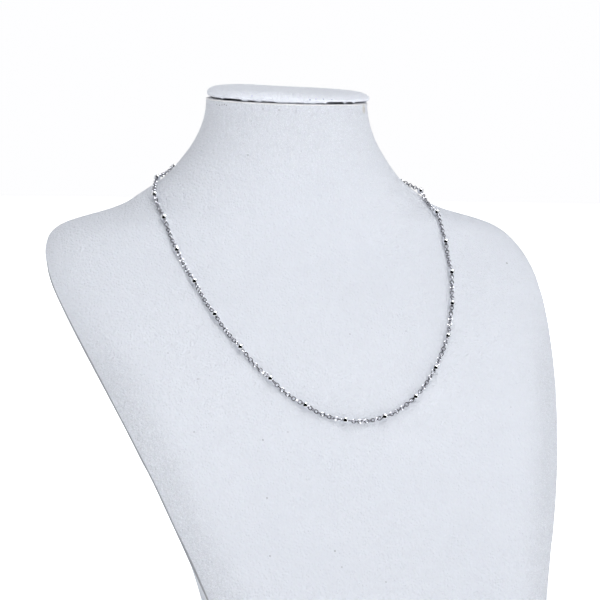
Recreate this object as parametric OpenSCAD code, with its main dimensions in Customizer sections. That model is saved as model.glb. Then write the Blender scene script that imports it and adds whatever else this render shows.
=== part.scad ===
// Fine cable chain necklace with small round ball stations, worn by a plain
// leatherette neck bust. Millimetres. The origin is at the bottom centre:
// X is the bust's side, Y its back, Z up, and the bust faces -Y.

/* [Necklace] */
// Distance from one ball to the next along the chain
bead_pitch = 19; // [18:0.1:19]
// Diameter of a ball
bead_d = 3.1; // [2.6:0.1:3.4]
// Diameter of the hole through a ball
bead_bore_d = 1.2; // [1.1:0.1:1.4]
// Width of the chain, taken as one round strand
chain_w = 1.9; // [1.5:0.1:2.1]
// Diameter of the link wire where it passes through a ball
thread_d = 0.9; // [0.6:0.1:0.9]
// How far the whole loop has slipped round to one side
drape_shift = 1.5; // [0:0.1:3]

/* [Clasp] */
// Radius of the clasp's hoop, at the middle of its wire
clasp_r = 2.4; // [2.2:0.1:2.8]
// Diameter of the clasp's wire
clasp_wire_d = 1.1; // [0.8:0.1:1.2]
// Radius of the clasp's small eye
eye_r = 0.9; // [0.8:0.1:1.1]
// Radius of a jump ring, at the middle of its wire
jump_r = 1.2; // [1.1:0.1:1.4]
// Wire diameter of the eye and the jump rings
jump_wire_d = 0.6; // [0.5:0.1:0.6]

/* [Neck bust] */
// Height of the neck's top edge above the surface the bust stands on
neck_top = 280; // [278:1:284]
// How far the neck's top leans down towards the front, in degrees
top_tilt = 4.2; // [0:0.1:8]
// Thickness of the padded cap on the neck
cap_t = 5.6; // [5:0.1:7]
// How far the cap sits off the neck's middle, to the bust's left
cap_slip = 0.8; // [0:0.1:1.2]
// Rounding of the bust's bottom edge
base_edge = 2; // [1:0.5:4]

/* [Hidden] */
// Ball stations round the loop, half of them on each side
BEADS = 26;
HALF_BEADS = BEADS / 2;

// Level sections of the bust, from its base up: height, half the width, how far
// forward the widest line lies, the front's depth before that line, how far
// forward the plain back lies, the fullness of the front and back curves, and
// the share of its width that the back loses.
LEVEL = 0;
HALF = 1;
MID = 2;
FRONT = 3;
BACK = 4;
FULL_F = 5;
FULL_B = 6;
TAPER = 7;
SECTIONS = [
    [  0,  57.5, 140,   15,   -6,  2.7, 6,   0.4],
    [ 25,  63.5, 136,   15,   -8,  2.7, 6,   0.4],
    [ 50,  71.5, 129.5, 12.5, -11, 2.7, 5.5, 0.4],
    [ 80,  82,   115.5, 12,   -16, 2.6, 5,   0.4],
    [105,  91,   103.5, 9,    -21, 2.6, 4.5, 0.4],
    [130,  99.5, 88.5,  10,   -26, 2.5, 4,   0.4],
    [150, 106.5, 72.5,  15.5, -31, 2.5, 3.5, 0.4],
    [168, 112.5, 55.5,  21.5, -36, 2.4, 3,   0.35],
    [185, 117.5, 38.5,  26.5, -42, 2.3, 2.5, 0.25],
    [200, 120,   21.5,  30.5, -47, 2.3, 2.2, 0.15],
    [212, 117.5, 8.5,   33,   -49, 2.2, 2,   0],
    [222, 107.5, -3,    38,   -48, 2.2, 2,   0],
    [230, 79.5,  -5.5,  37.5, -45, 2.1, 2,   0],
    [237, 67.5,  -4,    34.5, -42, 2.1, 2,   0],
    [244, 57.5,  -1.5,  31.5, -38, 2,   2,   0],
    [252, 50.5,  0,     30,   -35, 2,   2,   0],
    [262, 43.5,  1.5,   28,   -32, 2,   2,   0],
    [275, 39.1,  2,     28,   -30, 2,   2,   0],
    [290, 40,    0,     29.5, -29, 2,   2,   0],
    [305, 40,    0,     29,   -29, 2,   2,   0]
];

// One side of the chain's lie, from the middle of the front to the middle of
// the back: how far out, how far forward of the neck, and how high.
OUT = 0;
AHEAD = 1;
HIGH = 2;
LIE = [
    [ 0,    93,   140],
    [19,    91,   144.5],
    [35,    84.5, 155],
    [47.5,  75,   169.5],
    [56,    65,   182],
    [60,    55,   193.5],
    [65.5,  43.5, 205],
    [66.5,  33.5, 216],
    [68,    23.5, 226],
    [66.5,  10,   233.5],
    [63,   -2,    239.5],
    [52,   -15,   245],
    [34.5, -27,   249.5],
    [17.5, -33,   251.5],
    [ 0,   -35,   252]
];

// How far the bust's own middle lies ahead of the neck, which sets the origin
MIDDLE = 52.8;

// Clearance between solids, and between the leatherette and what lies on it
GAP = 0.15;
REST_GAP = 0.25;

// Heights of the strand's middle above the leatherette, free and at a ball.
// From a ball's middle it runs level as far as LEVEL_TO, then is down at COME_DOWN.
STRAND_LIFT = chain_w / 2 + REST_GAP;
BEAD_LIFT = bead_d / 2 + REST_GAP;
LEVEL_TO = bead_d / 2 + 2 * GAP;
COME_DOWN = 4.5;

// Points round a level section, sides of the strand, steps along the lie
ROUND_PTS = 52;
STRAND_SIDES = 8;
LIE_STEPS = 240;

// Heights of the bust's rings, in runs from, to and by a step that is closer
// where the shoulders round over, and the rounding of the neck's top edge
FROM = 0;
TO = 1;
STEP = 2;
RING_RUNS = [
    [12,  192,          12],
    [197, 209,          4],
    [212, 246.2,        1.8],
    [250, neck_top - 2, 4.5]
];
RING_LEVELS = [for (run = RING_RUNS) each [for (z = [run[FROM]:run[STEP]:run[TO]]) z]];
NECK_EDGE = 0.3;

STEEL = [0.80, 0.81, 0.84];
LEATHERETTE = [0.88, 0.90, 0.94];

// Two figures for the number of a ball, so the nodes sort in order
function two(n) = str(n < 10 ? "0" : "", n);

// Smooth curve through one column of the sections, by height
function row_below(z) = max([for (i = [0:len(SECTIONS) - 2]) if (i == 0 || SECTIONS[i][LEVEL] <= z) i]);
function slope_at(c, i) =
    let (a = max(i - 1, 0), b = min(i + 1, len(SECTIONS) - 1))
    (SECTIONS[b][c] - SECTIONS[a][c]) / (SECTIONS[b][LEVEL] - SECTIONS[a][LEVEL]);
function column(c, z) =
    let (
        i = row_below(z),
        h = SECTIONS[i + 1][LEVEL] - SECTIONS[i][LEVEL],
        t = min(max((z - SECTIONS[i][LEVEL]) / h, 0), 1),
        lift = t * t * (3 - 2 * t)
    )
    SECTIONS[i][c] * (1 - lift) + SECTIONS[i + 1][c] * lift
    + h * t * (1 - t) * ((1 - t) * slope_at(c, i) - t * slope_at(c, i + 1));

// The same row of columns at any height
function section(z) = [for (c = [LEVEL:TAPER]) c == LEVEL ? z : column(c, z)];

// A point of a section: turn is 0 at the front, 90 at the side, 180 at the back
function front_point(s, turn, inset) =
    let (along = pow(max(1 - pow(abs(sin(turn)), s[FULL_F]), 0), 1 / s[FULL_F]))
    [(s[HALF] - inset) * sin(turn), s[MID] + (s[FRONT] - inset) * along];
function back_point(s, turn, inset) =
    let (
        along = pow(abs(cos(turn)), 2 / s[FULL_B]),
        across = sign(sin(turn)) * pow(abs(sin(turn)), 2 / s[FULL_B])
    )
    [(s[HALF] - inset) * (1 - s[TAPER] * along) * across, s[MID] - (s[MID] - s[BACK] - inset) * along];
function section_point(s, turn, inset = 0) =
    cos(turn) >= 0 ? front_point(s, turn, inset) : back_point(s, turn, inset);

// 1 on the bust's surface, less inside and more outside
function reach(p) =
    let (
        s = section(p[HIGH]),
        front = p[AHEAD] >= s[MID],
        n = front ? s[FULL_F] : s[FULL_B],
        along = abs(p[AHEAD] - s[MID]) / (front ? s[FRONT] : s[MID] - s[BACK]),
        across = abs(p[OUT]) / s[HALF] / (front ? 1 : 1 - s[TAPER] * along)
    )
    pow(pow(across, n) + pow(along, n), 1 / n);

// How fast reach grows in each direction, the unit direction straight out of
// the surface, and the point moved straight onto the surface in a few steps
SMALL = 0.05;
function growth(p) =
    [for (e = [[SMALL, 0, 0], [0, SMALL, 0], [0, 0, SMALL]]) (reach(p + e) - reach(p - e)) / (2 * SMALL)];
function outward(p) = let (g = growth(p)) g / norm(g);
ONTO_STEPS = 3;
function onto_surface(p, steps = ONTO_STEPS) =
    steps == 0 ? p : let (g = growth(p)) onto_surface(p - g * (reach(p) - 1) / (g * g), steps - 1);

// Smooth curve through the rows of LIE. t runs from 0, front, to its last row
LAST = len(LIE) - 1;
function mirrored(p) = [-p[OUT], p[AHEAD], p[HIGH]];
function lie_row(i) = i < 0 ? mirrored(LIE[-i]) : i > LAST ? mirrored(LIE[2 * LAST - i]) : LIE[i];
function lie_curve(t) =
    let (
        i = min(floor(t), LAST - 1),
        f = t - i,
        a = lie_row(i - 1),
        b = lie_row(i),
        c = lie_row(i + 1),
        d = lie_row(i + 2)
    )
    b + f * (c - a) / 2 + f * f * (2 * a - 5 * b + 4 * c - d) / 2 + f * f * f * (3 * b - a - 3 * c + d) / 2;

// The lie on the leatherette in short steps: its points, the directions out of
// the leatherette, and the distance along a line lifted as the strand is
LIE_POINTS = [for (i = [0:LIE_STEPS]) onto_surface(lie_curve(LAST * i / LIE_STEPS))];
LIE_OUT = [for (p = LIE_POINTS) outward(p)];
MEAN_LIFT = (STRAND_LIFT + BEAD_LIFT) / 2;
LIFTED = [for (i = [0:LIE_STEPS]) LIE_POINTS[i] + MEAN_LIFT * LIE_OUT[i]];
LIE_AT = [
    for (i = 0, s = 0; i <= LIE_STEPS; s = s + norm(LIFTED[min(i + 1, LIE_STEPS)] - LIFTED[i]), i = i + 1) s
];
HALF_LOOP = LIE_AT[LIE_STEPS];

// Distance along the loop brought to one side: 0 at the front, HALF_LOOP behind
function wrapped(s) = s > HALF_LOOP ? s - 2 * HALF_LOOP : s < -HALF_LOOP ? s + 2 * HALF_LOOP : s;
function one_side(s) = abs(wrapped(s));
function side_sign(s) = wrapped(s) < 0 ? -1 : 1;
function flipped(v, sign) = [sign * v[OUT], v[AHEAD], v[HIGH]];
function lie_lookup(list, s) =
    let (
        i = max([for (k = [0:LIE_STEPS - 1]) if (k == 0 || LIE_AT[k] <= one_side(s)) k]),
        f = (one_side(s) - LIE_AT[i]) / (LIE_AT[i + 1] - LIE_AT[i])
    )
    flipped(list[i] * (1 - f) + list[i + 1] * f, side_sign(s));

// Where the balls and the clasp lie along the loop, from the middle of the front
function bead_s(k) = drape_shift + (k - HALF_BEADS - 0.5) * bead_pitch;
CLASP_S = drape_shift + HALF_LOOP;
function near_bead(s) = min([for (k = [1:BEADS]) abs(s - bead_s(k))]);
function strand_lift(s) =
    let (d = min(max((near_bead(s) - LEVEL_TO) / (COME_DOWN - LEVEL_TO), 0), 1))
    STRAND_LIFT + (BEAD_LIFT - STRAND_LIFT) * (1 + cos(180 * d)) / 2;

// The direction outward, a point lifted off the leatherette, and the direction
// along the strand
HALF_STEP = 0.5;
function up_at(s) = let (v = lie_lookup(LIE_OUT, s)) v / norm(v);
function strand_at(s, lift) = lie_lookup(LIE_POINTS, s) + lift * up_at(s);
function along_at(s) =
    let (
        v = strand_at(s + HALF_STEP, MEAN_LIFT) - strand_at(s - HALF_STEP, MEAN_LIFT),
        u = up_at(s),
        w = v - (v * u) * u
    )
    w / norm(w);

// From the sections' own directions into the model's: forward is -Y
function turned(v) = [v[OUT], -v[AHEAD], v[HIGH]];
function placed(p) = turned(p) + [0, MIDDLE, 0];

// Closed skin over rings of equally many points, flat at both ends
module skin(rings) {
    n = len(rings[0]);
    points = [for (r = rings) each r];
    last = (len(rings) - 1) * n;
    sides = [
        for (r = [0:len(rings) - 2], i = [0:n - 1])
        let (a = r * n + i, b = r * n + (i + 1) % n)
        each [[a, a + n, b], [b, a + n, b + n]]
    ];
    ends = [[for (i = [0:n - 1]) i], [for (i = [n - 1:-1:0]) last + i]];
    polyhedron(points, concat(ends, sides), convexity = 8);
}

// How much of the neck top's tilt a level takes: none at the chain, all at the top
TILT_FROM = 256;
function tilt_share(z) = let (t = min(max((z - TILT_FROM) / (neck_top - TILT_FROM), 0), 1)) t * t * (3 - 2 * t);
function bust_ring(z, inset = 0) =
    let (s = section(z), drop = tan(top_tilt) * tilt_share(z))
    [
        for (i = [0:ROUND_PTS - 1])
        let (q = section_point(s, 360 * i / ROUND_PTS, inset))
        placed([q[0], q[1], z - q[1] * drop])
    ];

module bust() {
    color(LEATHERETTE)
    skin(concat(
        [for (a = [0:30:90]) bust_ring(base_edge * (1 - cos(a)), base_edge * (1 - sin(a)))],
        [for (z = RING_LEVELS) bust_ring(z)],
        [bust_ring(neck_top - NECK_EDGE), bust_ring(neck_top, NECK_EDGE)]
    ));
}

// The cap's rounded edge: share of its thickness, and inset from the neck's edge
SHARE = 0;
INSET = 1;
CAP_EDGE = [
    [0,    2.2],
    [0.05, 0.9],
    [0.2,  -0.1],
    [0.4,  -0.4],
    [0.6,  0.2],
    [0.78, 1.7],
    [0.9,  4.2],
    [0.97, 8.5],
    [1,    15]
];
function cap_ring(share, inset) =
    let (s = section(neck_top))
    [
        for (i = [0:ROUND_PTS - 1])
        let (q = section_point(s, 360 * i / ROUND_PTS, inset))
        placed([q[0] + cap_slip, q[1], neck_top + GAP + share * cap_t - q[1] * tan(top_tilt)])
    ];

module neck_cap() {
    color(LEATHERETTE)
    skin([for (e = CAP_EDGE) cap_ring(e[SHARE], e[INSET])]);
}

// Rings of the strand round each ball: distance from its middle, and radius
ALONG = 0;
RADIUS = 1;
WIDE_R = chain_w / 2;
THREAD_R = thread_d / 2;
STATION = [
    [-COME_DOWN, WIDE_R],
    [-LEVEL_TO, WIDE_R],
    [-bead_d / 2, THREAD_R],
    [bead_d / 2, THREAD_R],
    [LEVEL_TO, WIDE_R],
    [COME_DOWN, WIDE_R]
];
// From the clasp's middle to its eye, to the two jump rings, and from a jump
// ring's middle to the strand
EYE_WEB = 0.2;
EYE_AT = clasp_r + eye_r + EYE_WEB;
LEFT_RING_AT = EYE_AT + eye_r - jump_wire_d / 2 - GAP + jump_r - jump_wire_d / 2;
RIGHT_RING_AT = clasp_r - clasp_wire_d / 2 - GAP + jump_r - jump_wire_d / 2;
RING_END = jump_r + jump_wire_d / 2 + GAP;
STRAND_START = CLASP_S - 2 * HALF_LOOP + LEFT_RING_AT + RING_END;
STRAND_END = CLASP_S - RIGHT_RING_AT - RING_END;

function strand_ring(s, r) =
    let (p = strand_at(s, strand_lift(s)), u = up_at(s), w = cross(u, along_at(s)))
    [
        for (i = [0:STRAND_SIDES - 1])
        let (a = 360 * (i + 0.5) / STRAND_SIDES)
        placed(p + r * (cos(a) * u + sin(a) * w))
    ];

module chain() {
    color(STEEL)
    skin(concat(
        [strand_ring(STRAND_START, THREAD_R)],
        [for (k = [1:BEADS]) each concat(
            [for (ring = STATION) strand_ring(bead_s(k) + ring[ALONG], ring[RADIUS])],
            k < BEADS ? [strand_ring(bead_s(k) + bead_pitch / 2, WIDE_R)] : []
        )],
        [strand_ring(STRAND_END, THREAD_R)]
    ));
}

// Places a piece on the loop with its X along the strand and its Z outward
module on_loop(s, lift) {
    p = placed(strand_at(s, lift));
    x = turned(along_at(s));
    z = turned(up_at(s));
    y = cross(z, x);
    multmatrix([
        [x[0], y[0], z[0], p[0]],
        [x[1], y[1], z[1], p[1]],
        [x[2], y[2], z[2], p[2]],
        [0, 0, 0, 1]
    ])
    children();
}

module bead(k) {
    color(STEEL)
    on_loop(bead_s(k), BEAD_LIFT)
    difference() {
        sphere(d = bead_d, $fn = 48);
        rotate([0, 90, 0]) cylinder(d = bead_bore_d, h = 2 * bead_d, center = true, $fn = 24);
    }
}

module wire_ring(r, wire_d) {
    rotate_extrude($fn = 48)
    translate([r, 0])
    circle(d = wire_d, $fn = 16);
}

module clasp() {
    color(STEEL)
    on_loop(CLASP_S, BEAD_LIFT)
    union() {
        wire_ring(clasp_r, clasp_wire_d);
        translate([EYE_AT, 0, 0]) wire_ring(eye_r, jump_wire_d);
    }
}

// The jump rings stand edge on to the clasp, through its eye and its hoop
module jump_ring(from_clasp) {
    color(STEEL)
    on_loop(CLASP_S + from_clasp, BEAD_LIFT)
    rotate([90, 0, 0])
    wire_ring(jump_r, jump_wire_d);
}
module jump_ring_left() { jump_ring(LEFT_RING_AT); }
module jump_ring_right() { jump_ring(-RIGHT_RING_AT); }

bust();
neck_cap();
chain();
for (k = [1:BEADS]) bead(k);
clasp();
jump_ring_left();
jump_ring_right();
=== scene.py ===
# Fine cable chain with small round ball stations, worn by a plain white
# leatherette neck bust. The row's frame in metres: the bust faces -Y, Z is up.

import math
import random

import bpy
import bmesh
from mathutils import Matrix, Vector
from mathutils.bvhtree import BVHTree


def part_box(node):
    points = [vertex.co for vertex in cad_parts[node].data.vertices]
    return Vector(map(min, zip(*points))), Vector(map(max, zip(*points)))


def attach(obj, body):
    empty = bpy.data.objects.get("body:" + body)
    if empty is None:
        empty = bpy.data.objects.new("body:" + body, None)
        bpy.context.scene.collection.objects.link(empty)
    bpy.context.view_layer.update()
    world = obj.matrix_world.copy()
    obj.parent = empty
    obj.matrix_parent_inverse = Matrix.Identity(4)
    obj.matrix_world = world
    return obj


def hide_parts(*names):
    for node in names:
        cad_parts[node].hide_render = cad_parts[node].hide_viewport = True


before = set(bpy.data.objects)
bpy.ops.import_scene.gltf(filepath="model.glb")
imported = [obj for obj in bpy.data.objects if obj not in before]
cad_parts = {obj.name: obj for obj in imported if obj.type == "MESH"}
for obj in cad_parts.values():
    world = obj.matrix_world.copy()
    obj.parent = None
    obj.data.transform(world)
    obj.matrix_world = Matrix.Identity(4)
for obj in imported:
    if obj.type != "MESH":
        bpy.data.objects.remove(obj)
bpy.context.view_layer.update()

MM = 0.001
BODY = "root"
BALLS = 26
BALL_NODES = [f"bead_{k:02d}" for k in range(1, BALLS + 1)]


def centre_of(node):
    low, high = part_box(node)
    return (low + high) / 2


# Camera: where the photograph was taken from, for a 600 by 600 picture

PICTURE = 600
VIEW_AROUND = math.radians(22)
VIEW_DOWN = math.radians(4.96)
VIEW_ROLL = math.radians(0.8)
VIEW_FROM = 1000 * MM
LOOK_AT = Vector((7.2, 49.9, 185.8)) * MM
SENSOR = 36
LENS = 126.87
CLIP = (0.05, 50)
# The way that the object's photographed side faces
FRONT = Vector((-0.37, -0.92, 0.09))


def add_camera():
    data = bpy.data.cameras.new("camera")
    data.sensor_width = SENSOR
    data.lens = LENS
    data.clip_start, data.clip_end = CLIP
    camera = bpy.data.objects.new("camera", data)
    back = Vector((
        -math.sin(VIEW_AROUND) * math.cos(VIEW_DOWN),
        -math.cos(VIEW_AROUND) * math.cos(VIEW_DOWN),
        math.sin(VIEW_DOWN),
    ))
    turn = (-back).to_track_quat("-Z", "Y").to_matrix().to_4x4()
    camera.matrix_world = (
        Matrix.Translation(LOOK_AT + back * VIEW_FROM) @ turn @ Matrix.Rotation(VIEW_ROLL, 4, "Z")
    )
    bpy.context.scene.collection.objects.link(camera)
    bpy.context.scene.camera = camera
    return camera


CAMERA = add_camera()


# Surfaces of the nodes, and the places on them that the camera sees

def surface_of(node):
    """A tree of the node's faces, for finding points on its surface."""
    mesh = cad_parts[node].data
    points = [v.co.copy() for v in mesh.vertices]
    faces = [tuple(p.vertices) for p in mesh.polygons]
    return BVHTree.FromPolygons(points, faces)


BUST_SURFACE = surface_of("bust")
CAP_SURFACE = surface_of("neck_cap")


def seen_at(x, y, surface):
    """The point of a surface that the camera sees at a pixel of the 600 by 600 picture."""
    aim = Vector((x / PICTURE - 0.5, 0.5 - y / PICTURE, -LENS / SENSOR))
    start = CAMERA.matrix_world.translation
    return surface.ray_cast(start, (CAMERA.matrix_world.to_3x3() @ aim).normalized())[0]


# The neck's top edge lies in a plane that leans down to the front

CAP_MIDDLE = centre_of("neck_cap")
TOP_TILT = math.radians(4.2)
NECK_TOP = 280 * MM
NECK_AT = 52.8 * MM


def above_rim(point):
    """Height above the plane of the neck's top edge."""
    return point.z - NECK_TOP - (point.y - NECK_AT) * math.tan(TOP_TILT)


# Shorthand for node trees and meshes

class Tree:
    """Adds nodes to a material and joins them up as they are named."""

    def __init__(self, material):
        self.tree = material.node_tree
        self.tree.nodes.clear()

    def add(self, kind, inputs=None, **settings):
        node = self.tree.nodes.new(kind)
        for key, value in settings.items():
            setattr(node, key, value)
        for key, value in (inputs or {}).items():
            if isinstance(value, bpy.types.NodeSocket):
                self.tree.links.new(value, node.inputs[key])
            else:
                node.inputs[key].default_value = value
        return node

    def math(self, operation, *values):
        return self.add("ShaderNodeMath", dict(enumerate(values)), operation=operation).outputs[0]

    def product(self, one, other):
        return self.math("MULTIPLY", one, other)

    def distance(self, place, point):
        inputs = {0: place, 1: tuple(point)}
        return self.add("ShaderNodeVectorMath", inputs, operation="DISTANCE").outputs["Value"]

    def towards(self, direction, aim):
        """How nearly a direction points along another, 1 at most."""
        inputs = {0: direction, 1: aim}
        return self.add("ShaderNodeVectorMath", inputs, operation="DOT_PRODUCT").outputs["Value"]

    def ramp(self, value, low, high, to_low=0.0, to_high=1.0):
        inputs = {"Value": value, "From Min": low, "From Max": high, "To Min": to_low, "To Max": to_high}
        node = self.add("ShaderNodeMapRange", inputs, interpolation_type="SMOOTHSTEP")
        return node.outputs["Result"]

    def noise(self, place, scale, detail=2.0, roughness=0.5):
        inputs = {"Vector": place, "Scale": scale, "Detail": detail, "Roughness": roughness}
        return self.add("ShaderNodeTexNoise", inputs).outputs["Fac"]

    def mix(self, share, one, other):
        node = self.add("ShaderNodeMix", data_type="RGBA")
        for socket, value in ((node.inputs[0], share), (node.inputs[6], one), (node.inputs[7], other)):
            if isinstance(value, bpy.types.NodeSocket):
                self.tree.links.new(value, socket)
            else:
                socket.default_value = value
        return node.outputs[2]


def new_material(name):
    material = bpy.data.materials.new(name)
    material.use_nodes = True
    return material


def new_piece(name, points, faces, material):
    mesh = bpy.data.meshes.new(name)
    mesh.from_pydata([tuple(p) for p in points], [], faces)
    mesh.materials.append(material)
    mesh.shade_smooth()
    piece = bpy.data.objects.new(name, mesh)
    bpy.context.scene.collection.objects.link(piece)
    return piece


# Materials

# The scale of a noise is in grains a metre, and a cloud's values lie mostly in this range
CLOUD_RANGE = (0.3, 0.7)
# The steel's clouds, and its scratches, which are longest along Y
STEEL_CLOUD = 900
SCRATCHES = (4000, 900, 4000)
SCRATCH_STRENGTH = 0.05
SCRATCH_DEPTH = 0.04 * MM


def steel_material(name, dark, light, roughness):
    """Polished steel with faint scratches, whose colour and polish vary a little."""
    material = new_material(name)
    tree = Tree(material)
    place = tree.add("ShaderNodeTexCoord").outputs["Object"]
    cloud = tree.noise(place, STEEL_CLOUD, 3)
    scratch_place = tree.add("ShaderNodeMapping", {"Vector": place, "Scale": SCRATCHES})
    bump = tree.add("ShaderNodeBump", {
        "Strength": SCRATCH_STRENGTH,
        "Distance": SCRATCH_DEPTH,
        "Height": tree.noise(scratch_place.outputs[0], 1, 2),
    })
    shader = tree.add("ShaderNodeBsdfPrincipled", {
        "Base Color": tree.mix(cloud, dark, light),
        "Metallic": 1.0,
        "Roughness": tree.ramp(cloud, *CLOUD_RANGE, *roughness),
        "Normal": bump.outputs[0],
    })
    tree.add("ShaderNodeOutputMaterial", {"Surface": shader.outputs[0]})
    return material


# Small dark marks on the leatherette, at their places in the photograph. Columns: across
# and down in pixels, radius in millimetres, and how much of the colour the mark takes away
BUST_MARKS = (
    (507, 263, 0.50, 0.85),
    (335, 551, 0.42, 0.60),
    (270, 556, 0.42, 0.50),
    (263, 440, 0.42, 0.50),
    (267, 498, 0.42, 0.50),
    (350, 334, 0.40, 0.42),
    (342, 567, 0.40, 0.42),
    (198, 379, 0.40, 0.42),
    (386, 582, 0.40, 0.40),
    (194, 432, 0.40, 0.40),
    (406, 331, 0.38, 0.40),
    (168, 353, 0.38, 0.40),
    (248, 155, 0.45, 0.40),
    (511, 407, 0.35, 0.35),
    (372, 328, 0.35, 0.35),
    (74, 227, 0.50, 0.35),
    (288, 432, 0.35, 0.35),
    (536, 484, 0.35, 0.30),
    (279, 110, 0.50, 0.35),
    (263, 109, 0.55, 0.25),
)
# Stitch holes under the rim, across and down in pixels, all of one size and depth
STITCHES = ((216.8, 104.2), (219.4, 105.2), (221.9, 104.8), (224.3, 104.4), (226.6, 105.2))
STITCH_R = 0.34
STITCH_SHADE = 0.6
STITCH_MARKS = tuple((x, y, STITCH_R, STITCH_SHADE) for x, y in STITCHES)
# Small dark marks on the cap, most along its lower edge, with the same columns as the marks
CAP_MARKS = (
    (310, 99.8, 0.55, 0.45),
    (316, 99, 0.40, 0.35),
    (323.5, 99, 0.50, 0.40),
    (332, 99.5, 0.45, 0.35),
    (252, 96, 0.40, 0.25),
)


# A mark is full out to the first share of its radius and fades out by the second
MARK_FULL = 0.4
MARK_GONE = 1.2


def shade_of_marks(tree, place, marks, surface):
    """A factor that is 1 on clean leatherette and lower at each mark."""
    shade = 1.0
    for x, y, radius, depth in marks:
        away = tree.distance(place, seen_at(x, y, surface))
        reach = radius * MM
        clear = tree.ramp(away, MARK_FULL * reach, MARK_GONE * reach, 1 - depth, 1)
        shade = tree.product(clear, shade)
    return shade


# The turned edge at the bust's side: its distance from the middle grows with height up
# to the shoulder. A crinkled strip beside it fades out inwards and up to the shoulder.
SHOULDER = 205 * MM
EDGE_FOOT = 54.8 * MM
EDGE_SLOPE = 0.333
STRIP_IN = (3 * MM, 22 * MM)
STRIP_HEIGHTS = (SHOULDER - 50 * MM, SHOULDER)
# Where the leatherette turns to the back: how far back, as a cubic curve of the height's
# share of the shoulder's height. A line of painted shade along it, for the side turned away
# from the light, starts and ends softly, this far past the turn, and fades out at the shoulder.
FOLD = (-89 * MM, 34 * MM, 55 * MM, 37 * MM)
LINE_FROM = (-1.6 * MM, -0.8 * MM)
LINE_TO = (1.2 * MM, 2.4 * MM)
LINE_HEIGHTS = (SHOULDER - 5 * MM, SHOULDER + 6 * MM)
FOLD_PAINTED_SHADE = 0.4
# Below these heights, the line lies this much further back
LINE_BACK = 1.0 * MM
LINE_BACK_BELOW = (95 * MM, 125 * MM)
# The painted highlight, a white band on the lip at the neck's top edge, fades out between these depths
# below it
LIP_DEPTHS = (0.5 * MM, 0.75 * MM)
LIP_HIGHLIGHT_WHITE = (0.98, 0.98, 1.0, 1)
# A faint warm stain under the rim: its place in the photograph in pixels, and where its
# strength starts and stops fading
STAIN_AT = (364, 109)
STAIN_REACH = (0.9 * MM, 3 * MM)
STAIN_DEPTH = 0.5
STAIN_COLOUR = (0.55, 0.50, 0.42, 1)
# The leatherette's own grain, coarse to fine, and its relief
LEATHER_CLOUD = 22
CRINKLE = 700
CRINKLE_ROUGHNESS = 0.7
PEBBLES = 1100
FINE = 1500
FINE_SHARE = 0.6
GRAIN_RELIEF = 0.5 * MM
LIVELY_RELIEF = 0.2 * MM
# The grain grows livelier up the neck, between these heights, with white spots: painted highlights, small
# glints off the grain
LIVELY_HEIGHTS = (205 * MM, 285 * MM)
GLINT_GRAIN = 2600
GLINTS_FROM = (0.5, 0.7)
GLINT_SHARE = 0.8
GLINT_WHITE = (0.90, 0.93, 1.0, 1)
# Its colour at the clouds' darkest and lightest, and in a mark and in the painted shade along the fold
LEATHER_DARK = (0.745, 0.775, 0.845)
LEATHER_LIGHT = (0.775, 0.80, 0.865)
MARK_AND_FOLD_SHADE_COLOUR = (0.10, 0.10, 0.12, 1)
# Its roughness over the clouds, and how much it shines
LEATHER_ROUGHNESS = (0.50, 0.60)
LEATHER_GLOSS = 0.4


def edge_strip(tree, across, height):
    """1 in the crinkled strip along the turned edge, 0 on the chest and above the shoulder."""
    edge = tree.math("ADD", tree.product(height, EDGE_SLOPE), EDGE_FOOT)
    inside = tree.math("SUBTRACT", edge, tree.math("ABSOLUTE", across))
    return tree.product(tree.ramp(inside, *STRIP_IN, 1, 0), tree.ramp(height, *STRIP_HEIGHTS, 1, 0))


def fold_shade_line(tree, along_y, height):
    """1 on the thin line of painted shade where the leatherette turns to the back."""
    share = tree.math("DIVIDE", height, SHOULDER)
    fold = FOLD[-1]
    for term in reversed(FOLD[:-1]):
        fold = tree.math("ADD", tree.product(fold, share), term)
    fold = tree.math("ADD", fold, tree.ramp(height, *LINE_BACK_BELOW, LINE_BACK, 0))
    past = tree.math("SUBTRACT", along_y, fold)
    line = tree.product(tree.ramp(past, *LINE_FROM, 0, 1), tree.ramp(past, *LINE_TO, 1, 0))
    return tree.product(line, tree.ramp(height, *LINE_HEIGHTS, 1, 0))


def lip_highlight(tree, along_y, height):
    """1 on the lip at the neck's top edge, where a white highlight is painted."""
    leaned = tree.product(tree.math("SUBTRACT", along_y, NECK_AT), math.tan(TOP_TILT))
    below = tree.math("SUBTRACT", tree.math("ADD", leaned, NECK_TOP), height)
    return tree.ramp(below, *LIP_DEPTHS, 1, 0)


def stain(tree, place):
    """The stain's strength, at its most in its middle."""
    away = tree.distance(place, seen_at(*STAIN_AT, BUST_SURFACE))
    return tree.ramp(away, *STAIN_REACH, STAIN_DEPTH, 0)


def leather_colour(rgb, light):
    """A colour with its alpha, made whiter by a light above 1, which paints extra light into it."""
    return tuple(part * light for part in rgb) + (1,)


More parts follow.
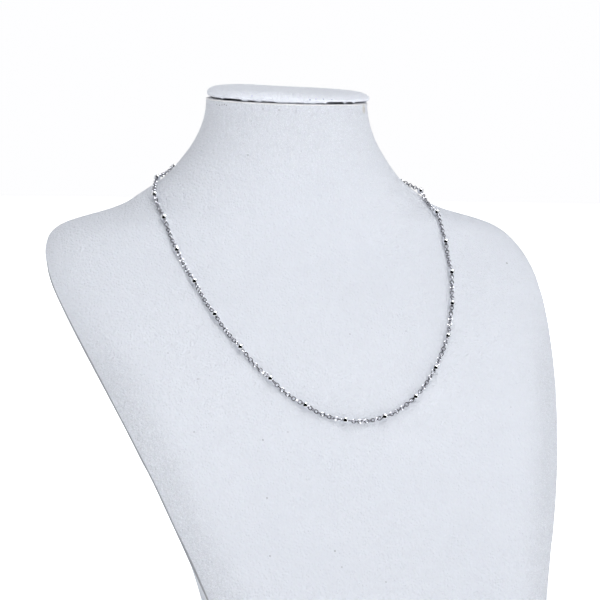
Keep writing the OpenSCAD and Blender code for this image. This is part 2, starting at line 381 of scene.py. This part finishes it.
def leatherette_material(name, light, marks, is_bust):
    """Cool white leatherette with a pebbled grain, marks and painted white glints, and on the bust
    painted shade along the fold, a painted highlight on the lip, and a stain."""
    material = new_material(name)
    tree = Tree(material)
    place = tree.add("ShaderNodeTexCoord").outputs["Object"]
    split = tree.add("ShaderNodeSeparateXYZ", {0: place}).outputs
    across, along_y, height = split["X"], split["Y"], split["Z"]
    up_neck = tree.ramp(height, *LIVELY_HEIGHTS, 0, 1)
    lively = tree.math("MAXIMUM", edge_strip(tree, across, height), up_neck)

    pebbles = tree.add("ShaderNodeTexVoronoi", {"Vector": place, "Scale": PEBBLES}, feature="SMOOTH_F1")
    fine = tree.product(tree.noise(place, FINE, 2), FINE_SHARE)
    crinkle = tree.noise(place, CRINKLE, 4, CRINKLE_ROUGHNESS)
    crinkle = tree.product(crinkle, tree.math("ADD", 1.0, lively))
    bump = tree.add("ShaderNodeBump", {
        "Strength": 1.0,
        "Distance": tree.math("ADD", GRAIN_RELIEF, tree.product(lively, LIVELY_RELIEF)),
        "Height": tree.math("ADD", tree.math("ADD", pebbles.outputs["Distance"], fine), crinkle),
    })
    cloud = tree.noise(place, LEATHER_CLOUD, 3)
    colour = tree.mix(cloud, leather_colour(LEATHER_DARK, light), leather_colour(LEATHER_LIGHT, light))
    # Painted highlights: small white glints off the grain in the lively parts
    painted_glints = tree.product(tree.ramp(tree.noise(place, GLINT_GRAIN, 0), *GLINTS_FROM, 0, GLINT_SHARE), lively)
    colour = tree.mix(painted_glints, colour, GLINT_WHITE)
    shade = shade_of_marks(tree, place, *marks)
    if is_bust:
        # Painted shade along the fold, where the side turns away from the light
        line = fold_shade_line(tree, along_y, height)
        shade = tree.product(shade, tree.ramp(line, 0, 1, 1, FOLD_PAINTED_SHADE))
        # A painted highlight: white along the lip at the neck's top edge
        colour = tree.mix(lip_highlight(tree, along_y, height), colour, LIP_HIGHLIGHT_WHITE)
        colour = tree.mix(stain(tree, place), colour, STAIN_COLOUR)
    shader = tree.add("ShaderNodeBsdfPrincipled", {
        "Base Color": tree.mix(shade, MARK_AND_FOLD_SHADE_COLOUR, colour),
        "Roughness": tree.ramp(cloud, *CLOUD_RANGE, *LEATHER_ROUGHNESS),
        "Specular IOR Level": LEATHER_GLOSS,
        "Normal": bump.outputs[0],
    })
    tree.add("ShaderNodeOutputMaterial", {"Surface": shader.outputs[0]})
    return material


# Near-black colour for the level faces where neck and cap meet: it paints the shade in the gap between
# them
GAP_SHADE_CLOUD = 300
GAP_SHADE_DARK = (0.02, 0.02, 0.03, 1)
GAP_SHADE_LIGHT = (0.05, 0.05, 0.06, 1)
GAP_SHADE_ROUGHNESS = 0.9


def gap_shade_material():
    """Near-black painted shade in the gap between the neck and its cap."""
    material = new_material("gap_shade")
    tree = Tree(material)
    place = tree.add("ShaderNodeTexCoord").outputs["Object"]
    shader = tree.add("ShaderNodeBsdfPrincipled", {
        "Base Color": tree.mix(tree.noise(place, GAP_SHADE_CLOUD, 3), GAP_SHADE_DARK, GAP_SHADE_LIGHT),
        "Roughness": GAP_SHADE_ROUGHNESS,
    })
    tree.add("ShaderNodeOutputMaterial", {"Surface": shader.outputs[0]})
    return material


STEEL = steel_material(
    "steel",
    dark=(0.80, 0.81, 0.84, 1),
    light=(0.88, 0.89, 0.92, 1),
    roughness=(0.04, 0.08),
)
# The links take a darker copy of the same steel, which paints shade into the links' colour
LINK_STEEL = steel_material(
    "link_steel",
    dark=(0.40, 0.40, 0.43, 1),
    light=(0.56, 0.56, 0.60, 1),
    roughness=(0.05, 0.12),
)
LEATHERETTE = leatherette_material(
    "leatherette",
    light=1.0,
    marks=(BUST_MARKS + STITCH_MARKS, BUST_SURFACE),
    is_bust=True,
)
# The cap's copy of the leatherette is made whiter by a light of 1.27, which paints extra light into the
# cap's colour
CAP_LEATHERETTE_WITH_PAINTED_LIGHT = leatherette_material(
    "cap_leatherette",
    light=1.27,
    marks=(CAP_MARKS, CAP_SURFACE),
    is_bust=False,
)
GAP_SHADE = gap_shade_material()


# Bust and cap: smooth skins over the forms of their nodes

# Points closer than this are one, and triangles that lie this flat, with corners this far
# from square, are joined in pairs
MERGE = 0.0005 * MM
JOIN_FLAT = math.radians(40)
JOIN_SQUARE = math.radians(80)
# Edges sharper than this are rims, which stay crisp
RIM_ANGLE = math.radians(40)
RIM_CREASE = 0.9
# Faces this near the neck's top edge and this level take the near-black painted shade of the gap
GAP_SHADE_REACH = 1 * MM
GAP_SHADE_LEVEL = 0.95


def smooth_skin(node, name, levels, material):
    """A copy of the node's form, smoothed but for its rims, with near-black painted shade where neck and
    cap meet.
    """
    form = bmesh.new()
    form.from_mesh(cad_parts[node].data)
    bmesh.ops.remove_doubles(form, verts=form.verts, dist=MERGE)
    bmesh.ops.join_triangles(
        form,
        faces=form.faces,
        angle_face_threshold=JOIN_FLAT,
        angle_shape_threshold=JOIN_SQUARE,
    )
    crease = form.edges.layers.float.new("crease_edge")
    for edge in form.edges:
        if edge.calc_face_angle(0) > RIM_ANGLE:
            edge[crease] = RIM_CREASE
    for face in form.faces:
        # Level faces at the neck's top edge take the near-black painted shade of the gap
        at_rim = abs(above_rim(face.calc_center_median())) < GAP_SHADE_REACH
        face.material_index = 1 if at_rim and abs(face.normal.z) > GAP_SHADE_LEVEL else 0
        face.smooth = True
    rough = bpy.data.meshes.new(name)
    form.to_mesh(rough)
    form.free()
    rough.materials.clear()
    rough.materials.append(material)
    rough.materials.append(GAP_SHADE)
    piece = bpy.data.objects.new(name, rough)
    bpy.context.scene.collection.objects.link(piece)
    subdivide = piece.modifiers.new("smooth", "SUBSURF")
    subdivide.levels = levels
    subdivide.render_levels = levels
    graph = bpy.context.evaluated_depsgraph_get()
    piece.data = bpy.data.meshes.new_from_object(piece.evaluated_get(graph))
    piece.modifiers.clear()
    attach(piece, BODY)
    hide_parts(node)
    return piece


smooth_skin("bust", "bust_leatherette", levels=2, material=LEATHERETTE)
cap = smooth_skin("neck_cap", "cap_leatherette", levels=3, material=CAP_LEATHERETTE_WITH_PAINTED_LIGHT)


# The cap's uneven lower edge, and its crown, where the padding has slipped to one side

# Where the slit under the cap gapes in the photograph. Columns: from and to in pixels
# across, and how far in millimetres
GAPES = (
    (206, 221, 0.55),
    (224, 241, 0.75),
    (248, 255, 0.45),
    (262, 275, 0.40),
    (296, 304, 0.12),
    (316, 324, 0.25),
    (327, 343, 0.90),
    (346, 352, 0.80),
    (355, 366, 0.70),
)
GAPE_SOFT = 1.2
# The cap's lowest stretch takes the gapes, and elsewhere it sits this much lower, in millimetres
EDGE_HIGH = 1.6 * MM
SHUT = 0.10
# Behind, where the camera doesn't see, two waves round the neck make the gapes
BACK_GAPE = 0.25
BACK_WAVES = 9
BACK_BEAT = 4
BACK_BEAT_TURN = 1
# The crown is lower on one side by twice SLIP, and turns over around SLIP_AT
SLIP = 0.5 * MM
SLIP_AT = -5 * MM
SLIP_WIDE = 10 * MM
CROWN = (1.5 * MM, 4.0 * MM)


def smooth_step(low, high, value):
    t = min(max((value - low) / (high - low), 0), 1)
    return t * t * (3 - 2 * t)


def column_of(point):
    """The pixel column at which the camera sees a point."""
    seen = CAMERA.matrix_world.inverted() @ point
    return PICTURE * (0.5 - seen.x / seen.z * LENS / SENSOR)


def gape_at(point):
    """How far the cap's lower edge is lifted off the neck at a point, in millimetres."""
    in_view = -(CAMERA.matrix_world.inverted() @ point).z < VIEW_FROM * math.cos(VIEW_DOWN) - MM
    if not in_view:
        turn = math.atan2(point.x, point.y - CAP_MIDDLE.y)
        wave = math.sin(BACK_WAVES * turn) * math.sin(BACK_BEAT * turn + BACK_BEAT_TURN)
        return BACK_GAPE * max(0, wave)
    x = column_of(point)
    return max(
        depth * smooth_step(low - GAPE_SOFT, low, x) * (1 - smooth_step(high, high + GAPE_SOFT, x))
        for low, high, depth in GAPES
    )


def shape_cap():
    for vertex in cap.data.vertices:
        rise = above_rim(vertex.co)
        low = 1 - smooth_step(0, EDGE_HIGH, rise)
        crown = smooth_step(*CROWN, rise)
        lift = (gape_at(vertex.co) - SHUT) * MM * low
        vertex.co.z += lift - crown * SLIP * math.tanh((vertex.co.x - SLIP_AT) / SLIP_WIDE)


shape_cap()


# The chain's way over the bust, through the balls and between the jump rings

BALL_R = 1.55 * MM
BORE_R = 0.6 * MM
# Heights of the chain's middle above the leatherette, free and at a ball, and over how
# many ball radii past a ball's edge it comes down
CHAIN_LIFT = 1.1 * MM
BALL_LIFT = 1.8 * MM
COME_DOWN = 3
# The way is made in steps, and its outward direction is a mean over this many each way
PATH_STEP = 0.25 * MM
UP_STEPS = 10


def spline(points, step):
    """Points about a step apart on a smooth curve through the given ones, and where those lie."""
    ends = [2 * points[0] - points[1]] + points + [2 * points[-1] - points[-2]]
    made, at = [], []
    for a, b, c, d in zip(ends, ends[1:], ends[2:], ends[3:]):
        count = max(2, round((c - b).length / step))
        at.append(len(made))
        for i in range(count):
            t = i / count
            twice = 2 * b + (c - a) * t + (2 * a - 5 * b + 4 * c - d) * t * t
            made.append(0.5 * (twice + (3 * b - a - 3 * c + d) * t ** 3))
    at.append(len(made))
    made.append(points[-1])
    return made, at


class Way:
    """A line over the bust, with the distance along it and the outward direction there."""

    def __init__(self, points):
        rough, held = spline(points, PATH_STEP)
        ground = [BUST_SURFACE.find_nearest(p)[:2] for p in rough]
        normals = [g[1] for g in ground]
        self.up = []
        for i in range(len(normals)):
            near = normals[max(0, i - UP_STEPS):i + UP_STEPS + 1]
            self.up.append(sum(near, Vector()).normalized())
        self.points = []
        for i in range(len(rough)):
            away = min(abs(i - h) for h in held) * PATH_STEP
            share = min(max((away - BALL_R) / (COME_DOWN * BALL_R), 0), 1)
            lift = BALL_LIFT + (CHAIN_LIFT - BALL_LIFT) * (1 - math.cos(math.pi * share)) / 2
            self.points.append(ground[i][0] + self.up[i] * lift)
        for h, p in zip(held, points):
            self.points[h] = p.copy()
        self.at = [0.0]
        for a, b in zip(self.points, self.points[1:]):
            self.at.append(self.at[-1] + (b - a).length)
        self.held = [self.at[h] for h in held]

    def place(self, s):
        """The point and the outward direction at a distance along the line."""
        low, high = 0, len(self.at) - 1
        while high - low > 1:
            middle = (low + high) // 2
            low, high = (middle, high) if self.at[middle] <= s else (low, middle)
        t = (s - self.at[low]) / (self.at[high] - self.at[low])
        point = self.points[low].lerp(self.points[high], t)
        return point, self.up[low].lerp(self.up[high], t).normalized()


BALL_CENTRES = [centre_of(node) for node in BALL_NODES]
RING_LEFT = centre_of("jump_ring_left")
RING_RIGHT = centre_of("jump_ring_right")
way = Way([RING_LEFT] + BALL_CENTRES + [RING_RIGHT])


def axes_at(start, end, outward, turn):
    """Along, across and out for a link from start to end, turned about its length."""
    along = (end - start).normalized()
    flat = outward.cross(along).normalized()
    up = along.cross(flat)
    across = flat * math.cos(turn) + up * math.sin(turn)
    out = up * math.cos(turn) - flat * math.sin(turn)
    return along, across, out


# The chain's links, each turned a quarter against the next

# Their wire, their pitch, how much longer than the pitch each is along its wire's middle,
# and their width outside
LINK_WIRE = 0.45 * MM
LINK_PITCH = 1.5 * MM
LINK_SEAT = 0.47 * MM
LINK_W = 2.05 * MM
# The link through a ball is longer and narrower
BALL_LINK_IN = 3.6 * MM
BALL_LINK_W = 1.1 * MM
# The links start this far from the middle of a jump ring
RING_IN = 0.9 * MM
# How far a link may be off a quarter turn from its neighbour, and the seed of the draws
TURN_LOOSE = math.radians(18)
TURN_SEED = 7
# A link's wire has six sides, shaded smooth but for edges sharper than this
WIRE_SIDES = 6
LINK_STEPS = 24
RIDGE_ANGLE = math.radians(32)


def ring_faces(rings, around, first=0):
    """Faces that join rings of points one to the next, and the last to the first."""
    return [
        (
            first + r * around + i,
            first + r * around + (i + 1) % around,
            first + (r + 1) % rings * around + (i + 1) % around,
            first + (r + 1) % rings * around + i,
        )
        for r in range(rings)
        for i in range(around)
    ]


class Wires:
    """Many closed wire rings gathered into one mesh."""

    def __init__(self):
        self.points = []
        self.faces = []

    def add(self, centre, along, across, out, half_length, half_width, wire):
        """An oval ring of six-sided wire, by the half length and width of its middle line."""
        first = len(self.points)
        for i in range(LINK_STEPS):
            a = 2 * math.pi * (i + 0.5) / LINK_STEPS
            ring = centre + along * half_length * math.cos(a) + across * half_width * math.sin(a)
            outward = along * half_width * math.cos(a) + across * half_length * math.sin(a)
            outward.normalize()
            for k in range(WIRE_SIDES):
                b = 2 * math.pi * k / WIRE_SIDES
                self.points.append(ring + wire / 2 * (outward * math.sin(b) + out * math.cos(b)))
        self.faces.extend(ring_faces(LINK_STEPS, WIRE_SIDES, first))


def facing(outward):
    """Where a link's flat side faces: outward, and towards the front on the bust's front."""
    return outward.lerp(FRONT, max(0, outward.dot(FRONT)))


def add_link(wires, low, high, width, turn, inside=None):
    """A link that reaches between two distances along the way, turned about its length. Its
    length inside is the straight distance between them, unless it is given."""
    start, outward = way.place(low)
    end, _ = way.place(high)
    axes = axes_at(start, end, facing(outward), turn)
    half_length = ((inside or (end - start).length) + LINK_SEAT) / 2
    wires.add((start + end) / 2, *axes, half_length, (width - LINK_WIRE) / 2, LINK_WIRE)


def add_links(wires):
    """A long narrow link through each ball, and cable links between them."""
    draw = random.Random(TURN_SEED)

    def loose():
        return draw.uniform(-TURN_LOOSE, TURN_LOOSE)

    # Each stop is where the links before it end, where those after it start, and its turn
    stops = [(None, way.held[0] + RING_IN, math.pi / 2)]
    for s in way.held[1:-1]:
        low, high = s - BALL_LINK_IN / 2, s + BALL_LINK_IN / 2
        turn = draw.choice((0, math.pi / 2)) + loose()
        add_link(wires, low, high, BALL_LINK_W, turn, BALL_LINK_IN)
        stops.append((low, high, turn))
    stops.append((way.held[-1] - RING_IN, None, math.pi / 2))
    for (_, low, first_turn), (high, _, _) in zip(stops, stops[1:]):
        count = max(1, round((high - low) / LINK_PITCH))
        pitch = (high - low) / count
        for i in range(count):
            turn = first_turn + math.pi / 2 * (i + 1) + loose()
            add_link(wires, low + pitch * i, low + pitch * (i + 1), LINK_W, turn)


def add_chain():
    wires = Wires()
    add_links(wires)
    chain = new_piece("chain_links", wires.points, wires.faces, LINK_STEEL)
    chain.data.set_sharp_from_angle(angle=RIDGE_ANGLE)
    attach(chain, BODY)
    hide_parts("chain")


add_chain()


# Balls, each a lathed shell with its bore along the chain's way

BALL_ROUND = 32
BALL_RINGS = 14


def add_ball(k):
    s = way.held[k]
    before, outward = way.place(s - BALL_R)
    after, _ = way.place(s + BALL_R)
    along, across, out = axes_at(before, after, outward, 0)
    centre = BALL_CENTRES[k - 1]
    mouth = math.asin(BORE_R / BALL_R)
    bends = [mouth + (math.pi - 2 * mouth) * i / BALL_RINGS for i in range(BALL_RINGS + 1)]
    turns = [2 * math.pi * i / BALL_ROUND for i in range(BALL_ROUND)]
    points = [
        centre + BALL_R * (along * math.cos(a) + math.sin(a) * (across * math.cos(b) + out * math.sin(b)))
        for a in bends
        for b in turns
    ]
    faces = ring_faces(len(bends), BALL_ROUND)
    ball = new_piece(f"ball_{k:02d}", points, faces, STEEL)
    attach(ball, BODY)
    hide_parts(BALL_NODES[k - 1])


for k in range(1, BALLS + 1):
    add_ball(k)


# Clasp and jump rings keep their nodes, with the steel finish

for node in ("clasp", "jump_ring_left", "jump_ring_right"):
    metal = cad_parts[node]
    metal.data.materials.clear()
    metal.data.materials.append(STEEL)


# Pale floor, soft lamps, and the room that the steel alone mirrors

# The floor reaches this far, and between two distances its glow grows to white
FLOOR_REACH = 20
FLOOR_GREY = (0.93, 0.93, 0.93, 1)
FLOOR_ROUGHNESS = 0.8
FLOOR_GLOW = 0.1
FLOOR_RUN = (0.05, 0.4)
DOME_R = 6
DOME_ROUND = 48
DOME_RINGS = 24
BACKDROP = (0.99, 0.99, 1.0, 1)
# Light from the sky: none at the horizon, and this much overhead
SKY_COLOUR = (0.97, 0.98, 1.0, 1)
SKY_GLOW = 0.66
# The mirrored room. A direction is compared with FRONT, with up and with PANEL_AT, and each
# edge is soft between two such values.
ROOM_COLOUR = (0.98, 0.99, 1.0, 1)
WALL_GLOW = 1.2
OPENING = (0.35, 0.45)
GAP_GRAIN = 3.0
GAP_EDGE = (0.45, 0.48)
TABLE_EDGE = (-0.56, -0.46)
TABLE_GLOW = 1.1
PANEL_AT = (0.33, -0.15, 0.93)
PANEL_EDGE = (0.93, 0.94)
PANEL_GLOW = 8.0
# Round lamps, all aimed at one place. Columns: name, place, watts
LAMP_AIM = (0, 0, 0.2)
LAMP_SIZE = 2.0
LAMPS = (
    ("key", (0.3, -1.9, 0.9), 11.0),
    ("top", (0, -0.5, 2.2), 13.0),
)


def add_floor():
    """A pale floor that shows the object's shadow close by and runs out to white."""
    material = new_material("floor")
    tree = Tree(material)
    place = tree.add("ShaderNodeTexCoord").outputs["Object"]
    shader = tree.add("ShaderNodeBsdfPrincipled", {
        "Base Color": FLOOR_GREY,
        "Roughness": FLOOR_ROUGHNESS,
        "Emission Color": (1, 1, 1, 1),
        "Emission Strength": tree.ramp(tree.distance(place, (0, 0, 0)), *FLOOR_RUN, FLOOR_GLOW, 1.0),
    })
    tree.add("ShaderNodeOutputMaterial", {"Surface": shader.outputs[0]})
    turned = ((-1, -1), (1, -1), (1, 1), (-1, 1))
    corners = [(x * FLOOR_REACH, y * FLOOR_REACH, 0) for x, y in turned]
    floor = new_piece("floor", corners, [(0, 1, 2, 3)], material)
    floor.visible_glossy = False


def add_dome(name, material, seen, mirrored):
    """A dome that lights nothing and is only seen, or only mirrored in the steel."""
    form = bmesh.new()
    bmesh.ops.create_uvsphere(form, u_segments=DOME_ROUND, v_segments=DOME_RINGS, radius=DOME_R)
    mesh = bpy.data.meshes.new(name)
    form.to_mesh(mesh)
    form.free()
    mesh.materials.append(material)
    dome = bpy.data.objects.new(name, mesh)
    dome.visible_camera = seen
    dome.visible_glossy = mirrored
    dome.visible_diffuse = False
    dome.visible_transmission = False
    dome.visible_shadow = False
    bpy.context.scene.collection.objects.link(dome)


def white_backdrop():
    material = new_material("backdrop")
    tree = Tree(material)
    glow = tree.add("ShaderNodeEmission", {"Color": BACKDROP, "Strength": 1.0})
    tree.add("ShaderNodeOutputMaterial", {"Surface": glow.outputs[0]})
    return material


def studio_walls():
    """A room for the steel to mirror: pale walls with dark gaps, a wide dark opening in
    front, a pale table below and a bright panel overhead."""
    material = new_material("studio")
    tree = Tree(material)
    place = tree.add("ShaderNodeTexCoord").outputs["Object"]
    direction = tree.add("ShaderNodeVectorMath", {0: place}, operation="NORMALIZE").outputs[0]
    up = tree.add("ShaderNodeSeparateXYZ", {0: direction}).outputs["Z"]
    walls = tree.ramp(tree.towards(direction, FRONT), *OPENING, WALL_GLOW, 0)
    gaps = tree.ramp(tree.noise(direction, GAP_GRAIN, 1), *GAP_EDGE, 0, 1)
    table = tree.ramp(up, *TABLE_EDGE, TABLE_GLOW, 0)
    panel = tree.ramp(tree.towards(direction, PANEL_AT), *PANEL_EDGE, 0, PANEL_GLOW)
    pale = tree.math("MAXIMUM", tree.product(walls, gaps), table)
    glow = tree.add("ShaderNodeEmission", {
        "Color": ROOM_COLOUR,
        "Strength": tree.math("MAXIMUM", panel, pale),
    })
    tree.add("ShaderNodeOutputMaterial", {"Surface": glow.outputs[0]})
    return material


def add_lamp(name, place, watts):
    """A soft lamp that the steel doesn't mirror."""
    data = bpy.data.lights.new(name, "AREA")
    data.shape = "DISK"
    data.size = LAMP_SIZE
    data.energy = watts
    lamp = bpy.data.objects.new(name, data)
    lamp.visible_glossy = False
    lamp.location = place
    lamp.rotation_euler = (Vector(LAMP_AIM) - Vector(place)).to_track_quat("-Z", "Y").to_euler()
    bpy.context.scene.collection.objects.link(lamp)


def add_sky():
    """Light from above the horizon, strongest from overhead."""
    world = bpy.data.worlds.new("room")
    world.use_nodes = True
    tree = Tree(world)
    direction = tree.add("ShaderNodeTexCoord").outputs["Generated"]
    up = tree.add("ShaderNodeSeparateXYZ", {0: direction}).outputs["Z"]
    background = tree.add("ShaderNodeBackground", {
        "Color": SKY_COLOUR,
        "Strength": tree.ramp(up, 0, 1, 0, SKY_GLOW),
    })
    tree.add("ShaderNodeOutputWorld", {"Surface": background.outputs[0]})
    bpy.context.scene.world = world


add_floor()
add_dome("backdrop", white_backdrop(), seen=True, mirrored=False)
add_dome("studio", studio_walls(), seen=False, mirrored=True)
add_sky()
for lamp_row in LAMPS:
    add_lamp(*lamp_row)
bpy.context.scene.view_settings.view_transform = "Standard"
